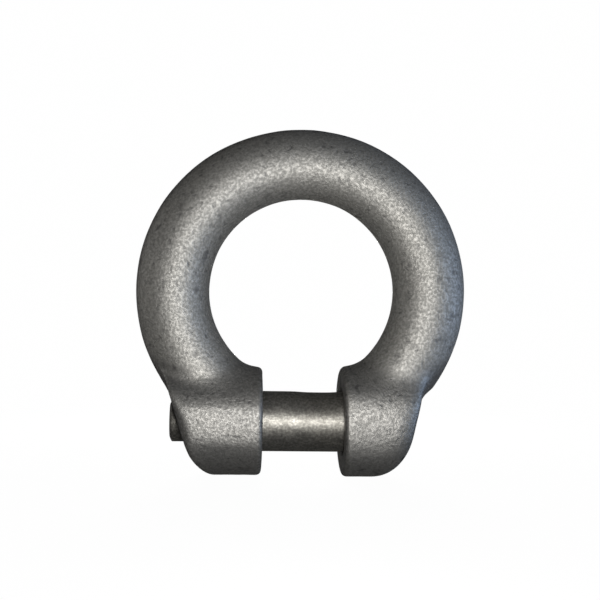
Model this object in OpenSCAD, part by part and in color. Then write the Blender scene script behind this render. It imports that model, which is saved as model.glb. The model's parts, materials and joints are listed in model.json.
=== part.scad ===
// Forged ring shackle with a recessed screw pin.
//
// The eye of the ring stands up along +Z, the pin lies along X, and the ring's
// thickness runs along Y. The origin is on the pin's axis, halfway between the
// two ears. The pin unscrews and leaves the ring towards +X.

/* [Ring] */
// Diameter of the clear round eye
eye_d = 67.6; // [66:0.1:69]
// Diameter of the round bar of the ring
bar_d = 26.2; // [25.5:0.1:27]
// Height of the eye's centre above the pin's axis
eye_height = 47.6; // [47:0.1:48.4]

/* [Ears] */
// Clear gap between the ears, which takes the lug or eye plate
jaw_gap = 29; // [28:0.5:30]
// Outer diameter of the round ears about the pin's axis
ear_d = 39.6; // [38:0.2:40]
// Distance from the middle of the gap to the end of the plain ear
plain_ear_reach = 43.8; // [43:0.1:44.5]
// Distance from the middle of the gap to the end of the threaded ear
thread_ear_reach = 44.6; // [44:0.1:45.5]
// Radius of the plain ear's round end, seen from the ring's side
plain_ear_round = 20.8; // [20:0.1:22]
// Radius of the threaded ear's round end, seen from the ring's side
thread_ear_round = 22.4; // [21:0.1:23]
// Radius of the plain ear's front and back edges
plain_ear_edge = 7; // [5:0.5:7]
// Radius of the threaded ear's front and back edges
thread_ear_edge = 4; // [2:0.5:6]
// Rounding of the edges beside the gap
jaw_edge = 1.4; // [0.8:0.1:2]
// Radius of the plain ear's shoulder at its foot, where it runs into the ear
plain_foot_r = 16.5; // [15:0.1:17]
// Radius of the threaded ear's fuller shoulder at its foot
thread_foot_r = 18.3; // [17:0.1:18.5]

/* [Pin] */
// Diameter of the pin's plain shank
pin_d = 22; // [21:0.5:22]
// Diameter of the clearance hole in the plain ear
pin_hole_d = 24.5; // [24:0.1:25]
// Major diameter of the pin's right-hand metric thread
thread_d = 18; // [16:1:18]
// Diameter of the smooth point past the thread
point_d = 15.4; // [12:0.1:15.4]
// Distance from the middle of the gap to the tip of the point
point_reach = 47.8; // [47.5:0.1:50]
// Distance from the middle of the gap to the pin's drive end
drive_reach = 39.5; // [38.5:0.5:42]
// Size of the hexagon socket across its flats
socket_flats = 14; // [10:1:14]
// Depth of the hexagon socket
socket_depth = 11; // [8:0.5:14]

/* [Fits] */
// Depth of the faced seats around the pin, sunk into each ear
seat_depth = 1; // [0.6:0.1:1.5]
// Radial running clearance of the thread, drawn as a plain cylinder
thread_play = 0.05; // [0.02:0.01:0.09]

/* [Hidden] */
$fn = 96;
bar_r = bar_d / 2;
ring_r = eye_d / 2 + bar_r;
ear_r = ear_d / 2;
face_x = jaw_gap / 2;
seat_x = face_x + seat_depth;
past = 1;
plain_foot_x = plain_ear_reach - plain_foot_r;
thread_foot_x = thread_ear_reach - thread_foot_r;
forged = [0.34, 0.33, 0.32];
turned = [0.44, 0.42, 0.39];

// The bar stops inside the ears, this far round from the bottom of the ring
bar_stop = asin((face_x + 4) / ring_r);
// The shoulder that swells the bar into each ear starts this far round
shoulder_turn = 52;

// A square corner with its inside rounded away, to cut from an outline
module corner_cut(r) {
    difference() {
        translate([-r, -r])
            square(r + past);
        translate([-r, -r])
            circle(r);
    }
}

// Side outline of an ear: x outwards, y up, with a round outer end
module ear_side(reach, end_r) {
    difference() {
        intersection() {
            translate([face_x, -ear_r])
                square([reach - face_x, ear_d]);
            translate([reach - end_r, 0])
                circle(end_r);
        }
        ear_jaw_edges();
    }
}

// Top outline of an ear: x outwards, y along the ring's thickness
module ear_top(reach, edge) {
    difference() {
        translate([face_x, -ear_r])
            square([reach - face_x, ear_d]);
        for (side = [0, 1])
            mirror([0, side])
                translate([reach, ear_r])
                    corner_cut(edge);
        ear_jaw_edges();
    }
}

// The two rounded corners beside the gap, in either outline
module ear_jaw_edges() {
    for (side = [0, 1])
        mirror([0, side])
            translate([face_x, ear_r])
                mirror([1, 0])
                    corner_cut(jaw_edge);
}

// One round ear, on the +X side
module ear(reach, end_r, edge) {
    intersection() {
        rotate([0, 90, 0])
            cylinder(r = ear_r, h = 2 * reach);
        rotate([90, 0, 0])
            translate([0, 0, -ear_d])
                linear_extrude(2 * ear_d)
                    ear_side(reach, end_r);
        translate([0, 0, -ear_d])
            linear_extrude(2 * ear_d)
                ear_top(reach, edge);
    }
}

// The forged shoulder that swells the bar into an ear, on the +X side
module shoulder(foot_x, foot_r) {
    start = [ring_r * sin(shoulder_turn), eye_height - ring_r * cos(shoulder_turn)];
    run = [start[0] - foot_x, start[1]];
    translate([foot_x, 0, 0])
        rotate([0, atan2(run[0], run[1]), 0])
            cylinder(r1 = foot_r, r2 = bar_r - 0.5, h = norm(run));
}

// The bar, bent into most of a circle
module bar() {
    translate([0, 0, eye_height])
        rotate([90, 0, 0])
            rotate([0, 0, bar_stop - 90])
                rotate_extrude(angle = 360 - 2 * bar_stop)
                    translate([ring_r, 0])
                        circle(bar_r);
}

// The forged ring: bar, shoulders and ears in one piece
module ring_body() {
    color(forged)
        difference() {
            union() {
                bar();
                ear(plain_ear_reach, plain_ear_round, plain_ear_edge);
                shoulder(plain_foot_x, plain_foot_r);
                mirror([1, 0, 0]) {
                    ear(thread_ear_reach, thread_ear_round, thread_ear_edge);
                    shoulder(thread_foot_x, thread_foot_r);
                }
            }
            // clearance hole, the two faced seats and the thread's hole
            translate([face_x - past, 0, 0])
                rotate([0, 90, 0])
                    cylinder(d = pin_hole_d, h = 2 * plain_ear_reach);
            translate([-seat_x, 0, 0])
                rotate([0, 90, 0])
                    cylinder(d = pin_hole_d, h = seat_depth + past);
            translate([-2 * thread_ear_reach, 0, 0])
                rotate([0, 90, 0])
                    cylinder(r = thread_d / 2 + thread_play, h = 2 * thread_ear_reach);
            translate([-face_x, -ear_d, -ear_d])
                cube([jaw_gap, 2 * ear_d, 2 * ear_d]);
        }
}

// The screw pin: point, thread, shoulder, plain shank and socket drive end
module screw_pin() {
    point_root = thread_ear_reach - 3;
    point_bevel = 1.4;
    drive_bevel = 1.2;
    lead_in = (thread_d - point_d) / 2;
    socket_r = socket_flats / 2 / cos(30);
    color(turned)
        difference() {
            rotate([0, 90, 0])
                union() {
                    translate([0, 0, -point_reach])
                        cylinder(d1 = point_d - 2 * point_bevel, d2 = point_d, h = point_bevel / 2);
                    translate([0, 0, point_bevel / 2 - point_reach])
                        cylinder(d = point_d, h = point_reach - point_bevel / 2 - face_x);
                    translate([0, 0, -point_root])
                        cylinder(d1 = point_d, d2 = thread_d, h = lead_in);
                    translate([0, 0, lead_in - point_root])
                        cylinder(d = thread_d, h = point_root - lead_in - face_x);
                    translate([0, 0, -seat_x])
                        cylinder(d = pin_d, h = seat_x + drive_reach - drive_bevel);
                    translate([0, 0, drive_reach - drive_bevel])
                        cylinder(d1 = pin_d, d2 = pin_d - 2 * drive_bevel, h = drive_bevel);
                }
            translate([drive_reach - socket_depth, 0, 0])
                rotate([0, 90, 0])
                    cylinder(r = socket_r, h = socket_depth + past, $fn = 6);
        }
}

ring_body();
screw_pin();
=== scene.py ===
"""The looks of the forged ring shackle: its forging, its screw pin, the studio and the camera.

Lengths are in millimetres while a shape is worked out, and in metres in every mesh. The frame is
the CAD's: the pin lies along X, the eye of the ring is up +Z, and the ring's thickness is along Y.
"""
import json
import math

import bpy
import numpy as np
from mathutils import Matrix, Vector, noise


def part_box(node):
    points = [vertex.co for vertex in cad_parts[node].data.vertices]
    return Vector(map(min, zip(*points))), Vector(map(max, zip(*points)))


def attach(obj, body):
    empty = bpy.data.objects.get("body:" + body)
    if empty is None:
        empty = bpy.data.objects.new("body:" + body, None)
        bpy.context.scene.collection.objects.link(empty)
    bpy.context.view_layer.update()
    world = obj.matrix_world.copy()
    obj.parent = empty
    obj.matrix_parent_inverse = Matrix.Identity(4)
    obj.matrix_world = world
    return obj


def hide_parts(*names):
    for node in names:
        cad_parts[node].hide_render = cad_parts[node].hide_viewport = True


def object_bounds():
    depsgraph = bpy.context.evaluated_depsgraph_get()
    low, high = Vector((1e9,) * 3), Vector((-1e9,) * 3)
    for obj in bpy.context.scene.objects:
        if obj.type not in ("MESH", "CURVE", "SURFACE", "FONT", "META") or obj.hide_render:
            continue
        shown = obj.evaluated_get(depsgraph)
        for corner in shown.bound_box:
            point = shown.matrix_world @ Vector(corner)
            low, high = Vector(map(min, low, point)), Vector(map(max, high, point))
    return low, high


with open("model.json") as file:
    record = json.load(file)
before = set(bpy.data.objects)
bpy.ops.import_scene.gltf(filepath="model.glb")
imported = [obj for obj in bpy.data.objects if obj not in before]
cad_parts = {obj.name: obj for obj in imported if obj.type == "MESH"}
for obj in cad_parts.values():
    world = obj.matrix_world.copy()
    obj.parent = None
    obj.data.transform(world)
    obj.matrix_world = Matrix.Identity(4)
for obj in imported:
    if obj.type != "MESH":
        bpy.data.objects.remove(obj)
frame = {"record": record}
cad_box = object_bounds()

MM = 0.001
mounts = {m["name"]: m for m in frame["record"]["mounts"]}
ring_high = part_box("ring_body")[1]
pin_low, pin_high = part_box("screw_pin")

# Sizes that the frame gives
EYE_Z = mounts["ring_eye"]["pos_m"][2] / MM
JAW_X = mounts["plain_ear_face"]["pos_m"][0] / MM
SHANK_R = mounts["jaw_pin"]["dims"]["r_mm"]
EAR_R = ring_high[1] / MM
TIP_X = pin_low[0] / MM
DRIVE_X = pin_high[0] / MM

# The bar: the eye's radius, and the outer radius at the sides and over the crown, where the bar
# is a little thinner. The crown is turned this many degrees towards -X, and a higher power keeps
# the thin place shorter. The thickness along Y follows this share of the change in width.
EYE_R = 33.97
SIDE_R = 60.3
CROWN_R = 59.4
CROWN_TILT = 5
CROWN_POWER = 4
BAR_HALF_THICK = 13.1
THICKNESS_SHARE = 0.6

# The eye's middle: it is forged a touch off the place that the frame gives
BAR_X = -0.5
EYE_LIFT = 0.2

# Each ear: its radius about the pin, how far it reaches, the radius, lean in degrees and height
# of its round end, the softness of that end's rim and of its two cheeks, and the width of its
# blend into the bar
PLAIN_EAR = dict(
    radius=20.0, reach=40.8, end_r=41.8, lean=12.9, rise=5.9, rim=5.0, cheek=7, blend=4.2
)
THREAD_EAR = dict(
    radius=19.6, reach=43.4, end_r=26.2, lean=17.8, rise=1.7, rim=1.0, cheek=5, blend=3.0
)
CHEEK_INSET = 0.4

# The jaw's two faces: the rounding of their edges, and the plain ear's slope below this height
JAW_EDGE = 2.0
JAW_LEAN = 0.02
FACE_TOP = 14

# Machined features: the clearance hole, the shoulder's seat, the M18 thread and how far inside
# its ear the pin's thread starts, the pin's smooth point and its hexagon socket
HOLE_R = 12.25
SEAT_DEPTH = 1.0
HOLE_BEVEL = 0.8
THREAD_R = 9.0
THREAD_PLAY = 0.05
THREAD_PITCH = 2.5
THREAD_DEPTH = 1.25
THREAD_INSET = 2.2
POINT_R = 7.7
POINT_ROUND = 1.7
SOCKET_FLATS = 14.0
SOCKET_DEPTH = 11.0
SOCKET_DRILL_R = 6.6

# Mesh detail: the forging's grid and the rounds that even it out, and the sharpest smooth edge
CELL = 0.72
EVEN_ROUNDS = 4
EVEN_SHARE = 0.6
SMOOTH_ANGLE = math.radians(38)

# The forged skin: width and height of its swells, ripples, grains and pits, and how much higher
# the grains stand on the ears. The ears' skin gives way to the bar's between these two distances
# from the pin's axis.
SWELL_WIDTH, SWELL_HEIGHT = 16, 0.1
RIPPLE_WIDTH, RIPPLE_HEIGHT = 5.5, 0.025
GRAIN_WIDTH, GRAIN_HEIGHT = 2.3, 0.012
EAR_GRAIN_HEIGHT = 0.018
PIT_WIDTH, PIT_DEPTH = 2.9, 0.04
EAR_SKIN_END = 19
BAR_SKIN_START = 27

# Where the skin starts to rise beside a jaw face or a hole, and where it is at its full height
JAW_SKIN_START = 0.4
HOLE_SKIN_START = 0.3
FULL_SKIN = 2.5

# The forging's parting line, trimmed but still proud of the bar, with its own long waves
FLASH_HEIGHT = 0.14
FLASH_HALF_WIDTH = 1.1
FLASH_WAVE_WIDTH = 9
FLASH_WAVE_SHARE = 0.5

# The pin's shank: its end bevels, and the worn hollow on top of it
SHANK_BEVEL = 1.2
WEAR_DEPTH = 0.3
WEAR_X = 6.0
WEAR_LENGTH = 7.0

# Colours: dark scale, bright grains, painted shade in pits, and a tone that darkens the ears
WHITE = (1, 1, 1, 1)
FORGED_DARK = (0.22, 0.218, 0.21, 1)
FORGED_DARK_WARM = (0.25, 0.245, 0.23, 1)
FORGED_LIGHT = (0.36, 0.355, 0.342, 1)
FORGED_LIGHT_WARM = (0.40, 0.39, 0.37, 1)
# painted shade: the colour that darkens the bottoms of the pits
FORGED_PIT_SHADE = (0.14, 0.138, 0.135, 1)
EAR_TONE = (0.7, 0.7, 0.705, 1)
PIN_DARK = (0.135, 0.132, 0.124, 1)
PIN_DARK_WARM = (0.16, 0.154, 0.138, 1)
PIN_LIGHT = (0.24, 0.235, 0.221, 1)
PIN_LIGHT_WARM = (0.28, 0.269, 0.245, 1)

# Finish: the range of roughness, how much smoother the ears are, depth of the finest relief in
# mm, and how metallic each steel is
FORGED_ROUGH = (0.66, 0.58)
EAR_SMOOTHER = 0.08
FORGED_RELIEF = 0.178
FORGED_METALLIC = 0.9
PIN_ROUGH = (0.44, 0.54)
PIN_RELIEF = 0.06
PIN_METALLIC = 0.95

# Sizes in mm of the coloured spots: grains on the bar and on the ears, pits with painted shade
# and warm patches, and the pin's grains and stains
BAR_SPOT = 1.0
EAR_SPOT = 1.05
PIT_SPOT = 2.6
WARM_PATCH = 17
PIN_SPOT = 0.9
PIN_STAIN = 5

# Studio: how pale the surroundings look, how little light they and the floor give the steel, and
# the distances in mm between which the floor fades into the surroundings
PALE = 0.997
FLOOR_GLOW = 0.98
FLOOR_BOUNCE = 0.3
FLOOR_FADE = (60, 260)
LOW_SKY = (0.06, 0.06, 0.06, 1)
HIGH_SKY = (0.055, 0.055, 0.057, 1)
RING_MIDDLE = Vector((0, 0, EYE_Z * MM))

# Each light: name, azimuth from the front towards +X and rise in degrees, distance and size in
# metres, power in watts and colour
LIGHTS = [
    ("key", 0.5, -6, 0.25, 0.045, 0.65, (1.0, 0.985, 0.95)),
    ("window", 58, 2, 1.0, 0.35, 2.7, (0.54, 0.72, 1.0)),
    ("side", 92, -4, 1.0, 0.35, 2.8, (0.5, 0.68, 1.0)),
    ("left", -95, 8, 1.0, 0.5, 0.9, (1.0, 0.985, 0.96)),
    ("back", 180, -3, 0.4, 0.2, 13.0, (1.0, 0.99, 0.97)),
]

# Camera: it looks level, from a little to the left of the front, and is rolled slightly. Its
# turns are in degrees and its lengths in mm.
CAMERA_YAW = 3.8
CAMERA_ROLL = 1.0
CAMERA_DISTANCE = 390
CAMERA_LENS = 63.5
CAMERA_TARGET = (-1.0, 0, 44.7)


# ---------------------------------------------------------------- shapes as distances, in mm

def smooth_step(value, low, high):
    """0 below the low value and 1 above the high one, with a smooth rise between."""
    share = np.clip((value - low) / (high - low), 0, 1)
    return share * share * (3 - 2 * share)


def smooth_min(a, b, width):
    """The smaller of two distances, with the crease between them filled over this width."""
    share = np.clip(0.5 + 0.5 * (b - a) / width, 0, 1)
    return b + (a - b) * share - width * share * (1 - share)


def smooth_max(a, b, width):
    """The larger of two distances, with the edge between them rounded over this width."""
    return -smooth_min(-a, -b, width)


def bar_distance(x, y, z):
    """Distance from the bent bar, which thins from the ring's sides to its crown."""
    rise = z - EYE_Z - EYE_LIFT
    reach = np.hypot(x - BAR_X, rise)
    tilt = math.radians(CROWN_TILT)
    up = (rise * math.cos(tilt) - (x - BAR_X) * math.sin(tilt)) / np.maximum(reach, 1e-6)
    crown = np.clip(up, 0, 1) ** CROWN_POWER
    outer = SIDE_R + (CROWN_R - SIDE_R) * crown
    half = (outer - EYE_R) / 2
    thick = BAR_HALF_THICK + THICKNESS_SHARE * (half - (SIDE_R - EYE_R) / 2)
    across = (reach - (outer + EYE_R) / 2) / half
    return (np.hypot(across, y / thick) - 1) * np.minimum(half, thick)


def ear_distance(x, y, z, ear):
    """Distance from one round ear about the pin, with x running outwards."""
    lean = math.radians(ear["lean"])
    dx = x - (ear["reach"] - ear["end_r"])
    dz = z - ear["rise"]
    along = np.minimum(dz * math.cos(lean) + dx * math.sin(lean), 0)
    out = np.maximum(dx * math.cos(lean) - dz * math.sin(lean), 0)
    end = np.hypot(out, along) - ear["end_r"]
    end = smooth_max(end, np.abs(y) - ear["radius"] + CHEEK_INSET, ear["cheek"])
    side = np.hypot(y, z) - ear["radius"]
    return smooth_max(side, end, ear["rim"])


def forging_distance(x, y, z):
    """Distance from the whole forging, before any machining."""
    right = x > 0
    plain = ear_distance(x, y, z, PLAIN_EAR)
    threaded = ear_distance(-x, y, z, THREAD_EAR)
    ear = np.where(right, plain, threaded)
    blend = np.where(right, PLAIN_EAR["blend"], THREAD_EAR["blend"])
    whole = smooth_min(bar_distance(x, y, z), ear, blend)
    # the plain ear's face leans out a little towards its foot
    face = JAW_X + np.where(right, JAW_LEAN * (FACE_TOP - z), 0)
    gap = np.where(z < EYE_Z, face - np.abs(x), -EYE_R)
    return smooth_max(whole, gap, JAW_EDGE)


# ---------------------------------------------------------------- meshes from distances

def surface_net(distance, low, high, step):
    """Vertices and quads of the surface where the distance is 0, on a grid of this step."""
    axes = [np.arange(a, b + step, step, dtype=np.float32) for a, b in zip(low, high)]
    values = distance(*np.meshgrid(*axes, indexing="ij", sparse=True)).astype(np.float32)
    inside = values < 0
    size = np.array(values.shape)
    corners = [np.array((i, j, k)) for i in (0, 1) for j in (0, 1) for k in (0, 1)]
    count = sum(
        inside[tuple(slice(c, c + n) for c, n in zip(corner, size - 1))].astype(np.int8)
        for corner in corners
    )
    active = (count > 0) & (count < len(corners))
    ids = np.full(active.shape, -1, np.int64)
    ids[active] = np.arange(active.sum())
    cells = np.argwhere(active)
    total, crossed = np.zeros((len(cells), 3)), np.zeros(len(cells))
    for start in corners:
        for axis in range(3):
            if start[axis]:
                continue
            step_along = np.eye(3, dtype=int)[axis]
            a = values[tuple((cells + start).T)]
            b = values[tuple((cells + start + step_along).T)]
            cut = (a < 0) != (b < 0)
            share = a[cut] / (a[cut] - b[cut])
            total[cut] += start + share[:, None] * step_along
            crossed[cut] += 1
    points = (cells + total / crossed[:, None]) * step + np.array([a[0] for a in axes])
    quads = [grid_quads(inside, ids, axis) for axis in range(3)]
    return points, np.vstack(quads)


def grid_quads(inside, ids, axis):
    """One quad for each grid edge along this axis that crosses the surface."""
    u, v = (axis + 1) % 3, (axis + 2) % 3
    first = [slice(1, n - 1) for n in inside.shape]
    second = list(first)
    first[axis] = slice(0, -1)
    second[axis] = slice(1, None)
    a, b = inside[tuple(first)], inside[tuple(second)]
    edges = np.argwhere(a != b)
    base = edges.copy()
    base[:, u] += 1
    base[:, v] += 1
    quads = []
    for du, dv in ((-1, -1), (0, -1), (0, 0), (-1, 0)):
        cell = base.copy()
        cell[:, u] += du
        cell[:, v] += dv
        quads.append(ids[tuple(cell.T)])
    quads = np.stack(quads, 1)
    outward = ~a[tuple(edges.T)]
    quads[outward] = quads[outward][:, ::-1]
    return quads


def gradient(distance, points, reach=0.05):
    """The distance's slope at each point."""
    slope = np.empty_like(points)
    for axis in range(3):
        offset = np.zeros(3)
        offset[axis] = reach
        slope[:, axis] = distance(*(points + offset).T) - distance(*(points - offset).T)
    return slope / (2 * reach)


def settle(distance, points, rounds):
    """Moves points straight onto the surface."""
    for _ in range(rounds):
        slope = gradient(distance, points)
        length = np.maximum((slope * slope).sum(1), 1e-6)
        points = points - (distance(*points.T) / length)[:, None] * slope
    return points


def even_out(points, quads, share):
    """Moves each point part of the way to the middle of its neighbours."""
    total, count = np.zeros_like(points), np.zeros(len(points))
    for i in range(4):
        a, b = quads[:, i], quads[:, (i + 1) % 4]
        for here, there in ((a, b), (b, a)):
            count += np.bincount(here, minlength=len(points))
            for axis in range(3):
                total[:, axis] += np.bincount(here, points[there, axis], len(points))
    return points + share * (total / count[:, None] - points)


def normals(distance, points):
    """The outward direction at each point."""
    slope = gradient(distance, points)
    return slope / np.linalg.norm(slope, axis=1)[:, None]


def mesh_object(name, points, faces):
    """A smooth-shaded object from points in mm."""
    mesh = bpy.data.meshes.new(name)
    mesh.from_pydata((np.asarray(points) * MM).tolist(), [], [list(f) for f in faces])
    mesh.validate()
    mesh.update()
    piece = bpy.data.objects.new(name, mesh)
    bpy.context.collection.objects.link(piece)
    return piece


def dress(piece, material):
    """Gives a piece its material, and smooth shading that is broken at machined edges."""
    piece.data.materials.clear()
    piece.data.materials.append(material)
    bpy.ops.object.select_all(action="DESELECT")
    piece.select_set(True)
    bpy.context.view_layer.objects.active = piece
    bpy.ops.object.shade_smooth_by_angle(angle=SMOOTH_ANGLE)


def combine(operation, piece, *tools):
    """Joins, cuts or intersects closed shapes, and keeps the result as the piece's mesh."""
    for tool in tools:
        step = piece.modifiers.new("combine", "BOOLEAN")
        step.operation = operation
        step.solver = "MANIFOLD"
        step.object = tool
    graph = bpy.context.evaluated_depsgraph_get()
    result = bpy.data.meshes.new_from_object(piece.evaluated_get(graph), depsgraph=graph)
    piece.modifiers.clear()
    piece.data = result
    for tool in tools:
        bpy.data.objects.remove(tool)
    return piece


# ---------------------------------------------------------------- turned and threaded shapes

def turned(name, stations, radius, segments):
    """A closed shape about the X axis, with radius(x, angles) at each station along X."""
    angles = np.arange(segments) * 2 * math.pi / segments
    rings = []
    for x in stations:
        r = np.broadcast_to(radius(x, angles), segments)
        ring = [np.full(segments, x), r * np.cos(angles), r * np.sin(angles)]
        rings.append(np.stack(ring, 1))
    faces = []
    for row in range(len(stations) - 1):
        for i in range(segments):
            k = (i + 1) % segments
            a, b = row * segments, (row + 1) * segments
            faces.append((a + i, a + k, b + k, b + i))
    last = (len(stations) - 1) * segments
    faces.append(tuple(reversed(range(segments))))
    faces.append(tuple(range(last, last + segments)))
    return mesh_object(name, np.concatenate(rings), faces)


def lathe(name, profile, segments=96):
    """A closed turned shape through (x, radius) points, in order along X."""
    table = dict(profile)
    return turned(name, list(table), lambda x, angles: table[x], segments)


def threaded_bar(name, low_x, high_x, root_r, crest_r, segments=64):
    """A bar about the X axis with a right-hand thread, whose ends are left uneven."""
    # root, flank and crest, by their shares of the pitch
    profile = [(0, root_r), (0.25, root_r), (0.56, crest_r), (0.69, crest_r)]
    count = len(profile)
    steps = int((high_x - low_x) / THREAD_PITCH + 1) * segments
    points = []
    for t in range(steps + 1):
        angle = 2 * math.pi * t / segments
        for share, r in profile:
            x = low_x + THREAD_PITCH * (t / segments + share)
            points.append((x, r * math.cos(angle), r * math.sin(angle)))

    def at(t, m):
        """The vertex at this step and profile point; the profile repeats one turn on."""
        return t * count + m if m < count else (t + segments) * count

    faces = []
    for t in range(steps):
        for m in range(count):
            if m < count - 1 or t + 1 + segments <= steps:
                faces.append((at(t, m), at(t + 1, m), at(t + 1, m + 1), at(t, m + 1)))
    first = [at(t, 0) for t in range(segments, 0, -1)] + [at(0, m) for m in range(count)]
    end = steps - segments
    last = [at(t, count - 1) for t in range(end, steps + 1)]
    last += [at(steps, m) for m in range(count - 2, -1, -1)]
    for loop, x in ((first, low_x), (last, low_x + THREAD_PITCH * steps / segments)):
        middle = len(points)
        points.append((x, 0, 0))
        for here, there in zip(loop, loop[1:] + loop[:1]):
            faces.append((middle, here, there))
    return mesh_object(name, points, faces)


# ---------------------------------------------------------------- the forging

def noise_at(points, size, seed):
    """Smooth noise from about -1 to 1 at each point, with bumps of about this size in mm."""
    start = Vector((seed, 2 * seed, 3 * seed))
    return np.array([noise.noise(Vector(p) / size + start) for p in points])


def skin_height(points):
    """How far the forged skin stands off its smooth shape at each point, in mm."""
    x, y, z = points.T
    from_pin = np.hypot(y, z)
    ear_share = 1 - smooth_step(from_pin, EAR_SKIN_END, BAR_SKIN_START)
    grain_height = GRAIN_HEIGHT + EAR_GRAIN_HEIGHT * ear_share
    swells = SWELL_HEIGHT * noise_at(points, SWELL_WIDTH, 1)
    ripples = RIPPLE_HEIGHT * noise_at(points, RIPPLE_WIDTH, 2)
    grains = grain_height * noise_at(points, GRAIN_WIDTH, 3)
    pits = -PIT_DEPTH * smooth_step(noise_at(points, PIT_WIDTH, 4), 0.5, 0.8)
    waves = 1 + FLASH_WAVE_SHARE * noise_at(points, FLASH_WAVE_WIDTH, 5)
    flash = FLASH_HEIGHT * np.exp(-((y / FLASH_HALF_WIDTH) ** 2)) * waves
    # the jaw's faces are flat, and the skin fades out towards the machined holes
    off_face = smooth_step(np.abs(x), JAW_X + JAW_SKIN_START, JAW_X + FULL_SKIN)
    off_jaw = np.where(z < EYE_Z - EYE_R, off_face, 1)
    off_hole = smooth_step(from_pin, HOLE_R + HOLE_SKIN_START, HOLE_R + FULL_SKIN)
    return (swells + ripples + grains + pits + flash) * off_jaw * off_hole


def seat_tool():
    """Cuts the faced seat that the pin's shoulder is drawn up against, with a bevelled edge."""
    bevel = 0.4
    past_face = 1.4
    bottom = -JAW_X - SEAT_DEPTH
    profile = [(bottom, HOLE_R), (-JAW_X - bevel, HOLE_R)]
    profile += [(-JAW_X + past_face, HOLE_R + bevel + past_face)]
    return lathe("seat_tool", profile)


def thread_tool():
    """Cuts the threaded ear's hole, whose crests just clear the pin's own thread."""
    far = -THREAD_EAR["reach"] - 6
    near = -JAW_X - SEAT_DEPTH
    crest = THREAD_R + THREAD_PLAY
    groove = crest + THREAD_DEPTH
    tool = threaded_bar("thread_tool", far - 4, near + 4, crest, groove)
    mouth = [(far, groove + 1), (near - 1.2, groove + 1)]
    mouth += [(near, groove + 0.2), (near + 0.5, groove + 0.2)]
    return combine("INTERSECT", tool, lathe("thread_mouth", mouth))


def ring_distance(x, y, z):
    """Distance from the forging with its clearance hole, whose edges are broken."""
    hole = np.where(x > 0, HOLE_R - np.hypot(y, z), -HOLE_R)
    return smooth_max(forging_distance(x, y, z), hole, 2 * HOLE_BEVEL)


def make_ring():
    """The forging, with its skin, its clearance hole, the shoulder's seat and the thread."""
    margin = 2.5
    low = (-SIDE_R - margin, -EAR_R - margin, -EAR_R - margin)
    high = (SIDE_R + margin, EAR_R + margin, EYE_Z + CROWN_R + margin)
    points, quads = surface_net(ring_distance, low, high, CELL)
    for _ in range(EVEN_ROUNDS):
        points = settle(ring_distance, even_out(points, quads, EVEN_SHARE), 2)
    points = points + skin_height(points)[:, None] * normals(ring_distance, points)
    piece = mesh_object("forged_ring", points, quads)
    combine("DIFFERENCE", piece, seat_tool(), thread_tool())
    dress(piece, forged_steel())
    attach(piece, "ring")
    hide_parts("ring_body")


# ---------------------------------------------------------------- the screw pin

def shank_radius(x, angles):
    """The shank, whose top is worn a little hollow where the load bore on it."""
    from_end = min(x + JAW_X + SEAT_DEPTH, DRIVE_X - x)
    worn = WEAR_DEPTH * np.exp(-(((x - WEAR_X) / WEAR_LENGTH) ** 4))
    top = smooth_step(np.sin(angles), 0.2, 0.95)
    return SHANK_R - max(SHANK_BEVEL - from_end, 0) - worn * top


def pin_shank():
    """The plain shank, from its shoulder on the seat to the drive end."""
    low = -JAW_X - SEAT_DEPTH
    ends = [0, SHANK_BEVEL / 2, SHANK_BEVEL]
    middle = np.arange(low + 2, DRIVE_X - 1.5, 0.8)
    stations = [low + e for e in ends] + list(middle) + [DRIVE_X - e for e in reversed(ends)]
    return turned("screw_pin_visual", stations, shank_radius, 128)


def pin_point():
    """The smooth point, with a rounded end, and the thread's core behind it."""
    core = THREAD_R - THREAD_DEPTH - 0.1
    point_end = -THREAD_EAR["reach"] + THREAD_INSET + 0.3
    profile = []
    for k in range(5):
        r = POINT_R - POINT_ROUND + POINT_ROUND * math.sin(k * math.pi / 8)
        profile.append((TIP_X + 0.25 * k, r))
    profile += [(point_end, POINT_R), (point_end + 0.6, core), (-JAW_X + 2, core)]
    return lathe("pin_point", profile)


def pin_thread():
    """The pin's thread, bevelled where it starts and relieved behind the shank's shoulder."""
    low = -THREAD_EAR["reach"] + THREAD_INSET
    high = -JAW_X - SEAT_DEPTH
    root = THREAD_R - THREAD_DEPTH
    bar = threaded_bar("pin_thread", low - 4, high + 4, root, THREAD_R)
    clear = THREAD_R + 0.1
    relief = root + 0.05
    limits = [(low, root), (low + 1.4, clear), (high - 2.6, clear)]
    limits += [(high - 1.6, relief), (high + 0.5, relief)]
    return combine("INTERSECT", bar, lathe("thread_limits", limits))


def socket_tool():
    """Cuts the hexagon socket, with a drilled cone at its bottom and a bevelled mouth."""
    corner_r = SOCKET_FLATS / 2 / math.cos(math.pi / 6)
    bottom = DRIVE_X - SOCKET_DEPTH
    tool = lathe("socket_tool", [(bottom, corner_r), (DRIVE_X + 1, corner_r)], 6)
    tool.data.transform(Matrix.Rotation(math.pi / 2, 4, "X"))
    cone = lathe("socket_cone", [(bottom - 3, 0.4), (bottom + 0.01, SOCKET_DRILL_R)], 48)
    bevel = [(DRIVE_X - 1, corner_r - 0.9), (DRIVE_X + 0.5, corner_r + 0.6)]
    mouth = lathe("socket_mouth", bevel, 48)
    return combine("UNION", tool, cone, mouth)


def make_pin():
    """The pin, with its shank, point, thread and socket."""
    piece = combine("UNION", pin_shank(), pin_point(), pin_thread())
    combine("DIFFERENCE", piece, socket_tool())
    dress(piece, pin_steel())
    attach(piece, "pin")
    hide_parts("screw_pin")


# ---------------------------------------------------------------- materials

def new_material(name):
    """A material with no nodes yet."""
    material = bpy.data.materials.new(name)
    material.use_nodes = True
    material.node_tree.nodes.clear()
    return material


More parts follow.
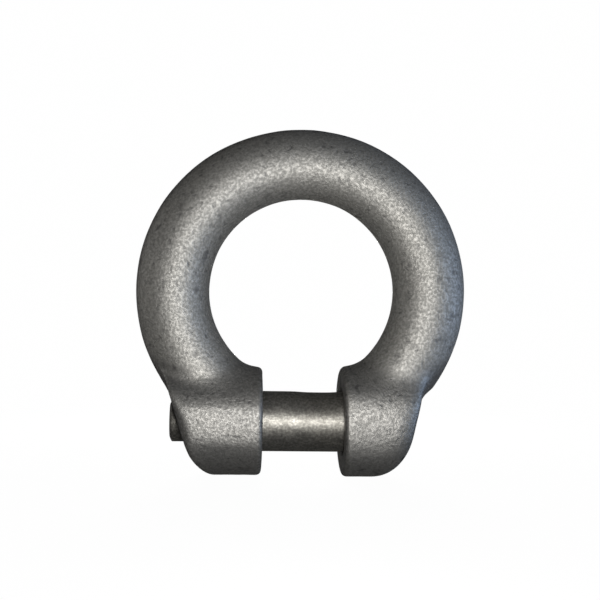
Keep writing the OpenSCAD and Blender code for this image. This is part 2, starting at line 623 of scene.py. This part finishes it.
def add(tree, kind, inputs, **settings):
    """A node whose inputs are set to values or linked to other nodes' outputs."""
    node = tree.nodes.new("ShaderNode" + kind)
    for key, value in settings.items():
        setattr(node, key, value)
    for socket, value in inputs.items():
        if isinstance(value, bpy.types.NodeSocket):
            tree.links.new(value, node.inputs[socket])
        else:
            node.inputs[socket].default_value = value
    return node


def math_node(tree, operation, *values):
    """The result of one operation on values."""
    return add(tree, "Math", dict(enumerate(values)), operation=operation).outputs[0]


def mixed(tree, share, a, b):
    """A blend of two values, from a at share 0 to b at share 1."""
    return add(tree, "Mix", {0: share, 2: a, 3: b}, data_type="FLOAT").outputs[0]


def mixed_colours(tree, share, a, b, blend="MIX"):
    """A blend of two colours, from a at share 0 to b at share 1."""
    inputs = {0: share, 6: a, 7: b}
    return add(tree, "Mix", inputs, data_type="RGBA", blend_type=blend).outputs[2]


def ranged(tree, value, low, high, to_low=0.0, to_high=1.0):
    """A smooth rise from to_low, at the low value, to to_high at the high one."""
    inputs = {0: value, 1: low, 2: high, 3: to_low, 4: to_high}
    return add(tree, "MapRange", inputs, interpolation_type="SMOOTHSTEP").outputs[0]


def in_mm(tree, stretch=(1, 1, 1)):
    """Object coordinates in mm, stretched along each axis."""
    place = add(tree, "TexCoord", {}).outputs["Object"]
    scale = tuple(s / MM for s in stretch)
    return add(tree, "Mapping", {"Vector": place, "Scale": scale}).outputs[0]


def grain(tree, place, size, detail=3.0, roughness=0.55, distortion=0.0):
    """Noise from 0 to 1 with spots of about this size in mm."""
    inputs = {
        "Vector": place,
        "Scale": 1 / size,
        "Detail": detail,
        "Roughness": roughness,
        "Distortion": distortion,
    }
    return add(tree, "TexNoise", inputs).outputs[0]


def near_pin(tree, place):
    """1 on the ears, falling to 0 along the bar."""
    parts = add(tree, "SeparateXYZ", {0: place}).outputs
    square = math_node(tree, "MULTIPLY", parts[1], parts[1])
    square = math_node(tree, "MULTIPLY_ADD", parts[2], parts[2], square)
    from_pin = math_node(tree, "SQRT", square)
    return ranged(tree, from_pin, EAR_SKIN_END, BAR_SKIN_START, 1.0, 0.0)


def steel_output(tree, colour, roughness, height, depth, metallic):
    """The steel's surface, with relief of this depth in mm."""
    bump = add(tree, "Bump", {"Height": height, "Strength": 1.0, "Distance": depth * MM})
    inputs = {
        "Base Color": colour,
        "Roughness": roughness,
        "Metallic": metallic,
        "Normal": bump.outputs[0],
    }
    shader = add(tree, "BsdfPrincipled", inputs)
    add(tree, "OutputMaterial", {0: shader.outputs[0]})


def forged_steel():
    """Blasted forged steel: bright grains on dark scale, darker and smoother on the ears."""
    material = new_material("forged_steel_looks")
    tree = material.node_tree
    place = in_mm(tree)
    on_ear = near_pin(tree, place)
    fine = grain(tree, place, BAR_SPOT, 3.0, 0.6)
    coarse = grain(tree, place, EAR_SPOT, 3.5, 0.65, 0.1)
    spots = mixed(tree, on_ear, fine, coarse)
    pits = grain(tree, place, PIT_SPOT, 2.0, 0.5, 0.3)
    pit_depth_and_shade = ranged(tree, pits, 0.55, 0.8)
    patches = grain(tree, place, WARM_PATCH)
    bright = ranged(tree, spots, 0.36, 0.68)
    dark = mixed_colours(tree, patches, FORGED_DARK, FORGED_DARK_WARM)
    light = mixed_colours(tree, patches, FORGED_LIGHT, FORGED_LIGHT_WARM)
    colour = mixed_colours(tree, bright, dark, light)
    # painted shade: the pits' bottoms are darkened in colour, as if in their own shadow
    colour = mixed_colours(tree, pit_depth_and_shade, colour, FORGED_PIT_SHADE)
    tone = mixed_colours(tree, on_ear, WHITE, EAR_TONE)
    colour = mixed_colours(tree, 1.0, colour, tone, "MULTIPLY")
    rough = mixed(tree, bright, *FORGED_ROUGH)
    smoother = mixed(tree, on_ear, 0.0, EAR_SMOOTHER)
    roughness = math_node(tree, "SUBTRACT", rough, smoother)
    height = math_node(tree, "MULTIPLY_ADD", pit_depth_and_shade, -0.4, spots)
    steel_output(tree, colour, roughness, height, FORGED_RELIEF, FORGED_METALLIC)
    return material


def pin_steel():
    """Dark turned steel: faint tool lines round the pin, stains and small bright grains."""
    material = new_material("pin_steel_looks")
    tree = material.node_tree
    place = in_mm(tree)
    lines = grain(tree, in_mm(tree, (9, 0.25, 0.25)), 1, 2.0)
    spots = grain(tree, place, PIN_SPOT, 3.0, 0.6)
    stains = grain(tree, place, PIN_STAIN, 4.0, 0.6, 0.5)
    bright = ranged(tree, spots, 0.35, 0.7)
    dark = mixed_colours(tree, stains, PIN_DARK, PIN_DARK_WARM)
    light = mixed_colours(tree, stains, PIN_LIGHT, PIN_LIGHT_WARM)
    colour = mixed_colours(tree, bright, dark, light)
    roughness = ranged(tree, stains, 0.3, 0.7, *PIN_ROUGH)
    height = math_node(tree, "MULTIPLY_ADD", lines, 0.35, spots)
    steel_output(tree, colour, roughness, height, PIN_RELIEF, PIN_METALLIC)
    return material


# ---------------------------------------------------------------- studio and camera

def make_floor():
    """A pale floor under the ears, which fades with distance into the pale surroundings."""
    segments = 96
    rings = [60, 200, 500, 1000, 2000]
    points = [(0, 0, 0)]
    faces = []
    for r in rings:
        for i in range(segments):
            angle = 2 * math.pi * i / segments
            points.append((r * math.cos(angle), r * math.sin(angle), 0))
    for i in range(segments):
        faces.append((0, 1 + i, 1 + (i + 1) % segments))
    for row in range(len(rings) - 1):
        a, b = 1 + row * segments, 1 + (row + 1) * segments
        for i in range(segments):
            k = (i + 1) % segments
            faces.append((a + i, b + i, b + k, a + k))
    floor = mesh_object("floor", points, faces)
    floor.location = (0, 0, cad_box[0][2])
    floor.visible_glossy = False
    material = new_material("floor_looks")
    tree = material.node_tree
    place = in_mm(tree)
    reach = add(tree, "VectorMath", {0: place}, operation="LENGTH").outputs["Value"]
    fade = ranged(tree, reach, *FLOOR_FADE, FLOOR_GLOW, 1.0)
    glow = add(tree, "Emission", {"Color": (PALE, PALE, PALE, 1), "Strength": 1.0})
    matt = add(tree, "BsdfDiffuse", {"Color": (0.8, 0.8, 0.8, 1)})
    seen = add(tree, "MixShader", {0: fade, 1: matt.outputs[0], 2: glow.outputs[0]})
    dull = add(tree, "BsdfDiffuse", {"Color": (FLOOR_BOUNCE, FLOOR_BOUNCE, FLOOR_BOUNCE, 1)})
    eye = add(tree, "LightPath", {}).outputs["Is Camera Ray"]
    both = add(tree, "MixShader", {0: eye, 1: dull.outputs[0], 2: seen.outputs[0]})
    add(tree, "OutputMaterial", {0: both.outputs[0]})
    floor.data.materials.append(material)


def make_world():
    """Pale surroundings to the eye, and a dimmer soft light on the steel."""
    world = bpy.data.worlds.new("studio")
    bpy.context.scene.world = world
    world.use_nodes = True
    tree = world.node_tree
    tree.nodes.clear()
    up = add(tree, "SeparateXYZ", {0: add(tree, "TexCoord", {}).outputs["Generated"]}).outputs[2]
    share = ranged(tree, up, -0.3, 0.9)
    tone = mixed_colours(tree, share, LOW_SKY, HIGH_SKY)
    soft = add(tree, "Background", {"Color": tone, "Strength": 1.0})
    pale = add(tree, "Background", {"Color": (PALE, PALE, PALE, 1), "Strength": 1.0})
    eye = add(tree, "LightPath", {}).outputs["Is Camera Ray"]
    both = add(tree, "MixShader", {0: eye, 1: soft.outputs[0], 2: pale.outputs[0]})
    add(tree, "OutputWorld", {0: both.outputs[0]})


def make_light(name, azimuth, rise, distance, size, power, colour):
    """A square light at this azimuth and rise, in degrees, seen from the ring's middle."""
    data = bpy.data.lights.new(name, "AREA")
    data.size = size
    data.energy = power
    data.color = colour
    lamp = bpy.data.objects.new(name, data)
    bpy.context.collection.objects.link(lamp)
    turn, lift = math.radians(azimuth), math.radians(rise)
    level = math.cos(lift)
    away = Vector((math.sin(turn) * level, -math.cos(turn) * level, math.sin(lift)))
    lamp.location = RING_MIDDLE + distance * away
    lamp.rotation_euler = away.to_track_quat("Z", "Y").to_euler()
    lamp.visible_camera = False
    # the back light only fills: its shine would ring the inside of the eye with white
    lamp.visible_glossy = name != "back"


def make_camera():
    """The camera at its distance from the target, with its turn and roll."""
    data = bpy.data.cameras.new("camera")
    data.lens = CAMERA_LENS
    data.sensor_width = 36
    camera = bpy.data.objects.new("camera", data)
    bpy.context.collection.objects.link(camera)
    yaw, roll = math.radians(CAMERA_YAW), math.radians(CAMERA_ROLL)
    back = Vector((-math.sin(yaw), -math.cos(yaw), 0))
    target = Vector(CAMERA_TARGET) * MM
    turn = Matrix.Rotation(roll, 3, back) @ back.to_track_quat("Z", "Y").to_matrix()
    camera.matrix_world = Matrix.Translation(target + back * CAMERA_DISTANCE * MM) @ turn.to_4x4()
    bpy.context.scene.camera = camera


make_camera()
make_world()
make_floor()
for light in LIGHTS:
    make_light(*light)
make_ring()
make_pin()
bpy.context.scene.view_settings.view_transform = "Standard"
